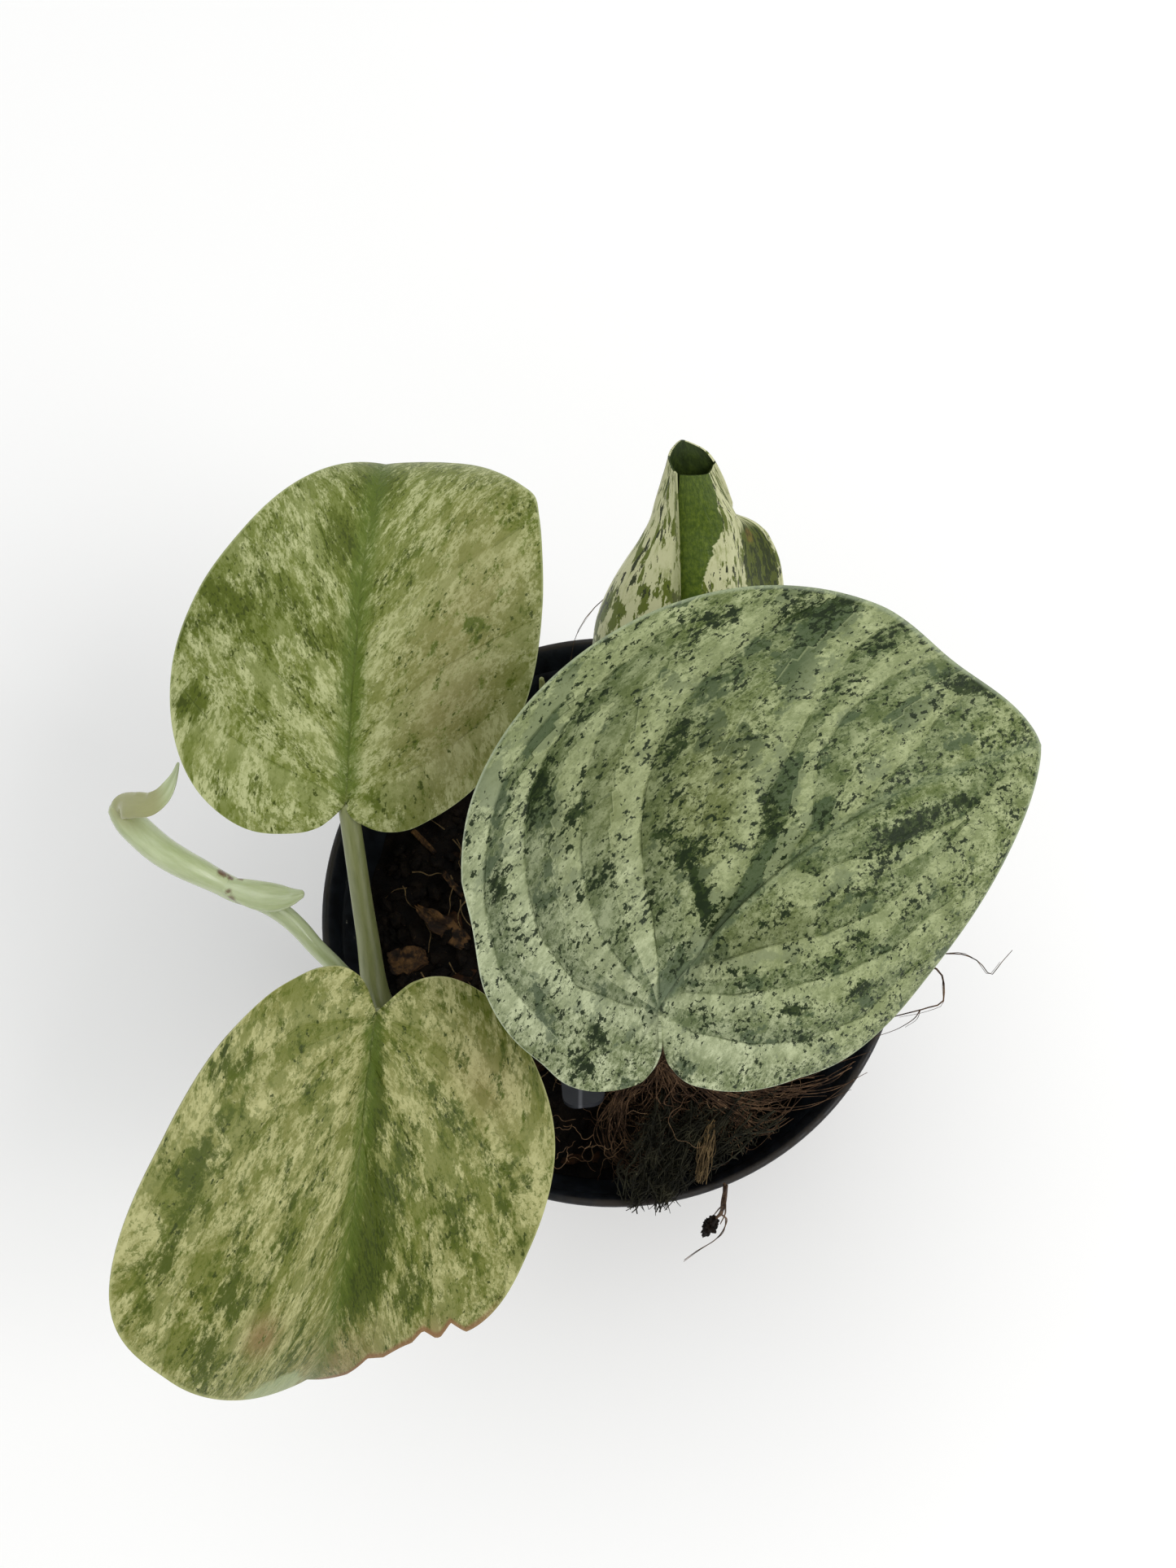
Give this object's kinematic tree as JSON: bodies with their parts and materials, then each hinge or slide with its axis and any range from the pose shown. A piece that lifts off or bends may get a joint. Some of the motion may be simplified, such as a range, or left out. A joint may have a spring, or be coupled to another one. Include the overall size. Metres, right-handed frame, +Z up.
{
  "type": "potted satin scindapsus",
  "caption": "Potted vine in a plain tapered nursery pot of soil, with mottled heart-shaped leaves on stalks, a furled leaf, a new shoot and a fibrous root plug.",
  "frame": {"origin": "middle of the pot's flat underside, on the surface it stands on", "axes": "+Z up along the pot's axis; the front is -Y, toward the front-left leaf's tip; +X is to the right"},
  "size_m": [0.1669, 0.1643, 0.1781],
  "materials": {
    "pot_plastic": "satin",
    "soil": "matte",
    "leaf_cream": "satin",
    "leaf_satin": "satin",
    "leaf_young": "gloss",
    "stalk_green": "satin",
    "root_fibre": "matte",
    "bark": "matte",
    "label_plastic": "satin"
  },
  "bodies": {
    "root": {"pot": "pot_plastic", "soil": "soil", "leaf_back_left": "leaf_cream", "leaf_front_left": "leaf_cream", "leaf_right": "leaf_satin", "leaf_furled": "leaf_young", "stem_left": "stalk_green", "stem_right": "stalk_green", "new_shoot": "stalk_green", "sprout": "stalk_green", "root_plug": "root_fibre", "bark_chip_1": "bark", "bark_chip_2": "bark", "bark_chip_3": "bark", "bark_chip_4": "bark", "plant_label": "label_plastic"}
  },
  "joints": []
}
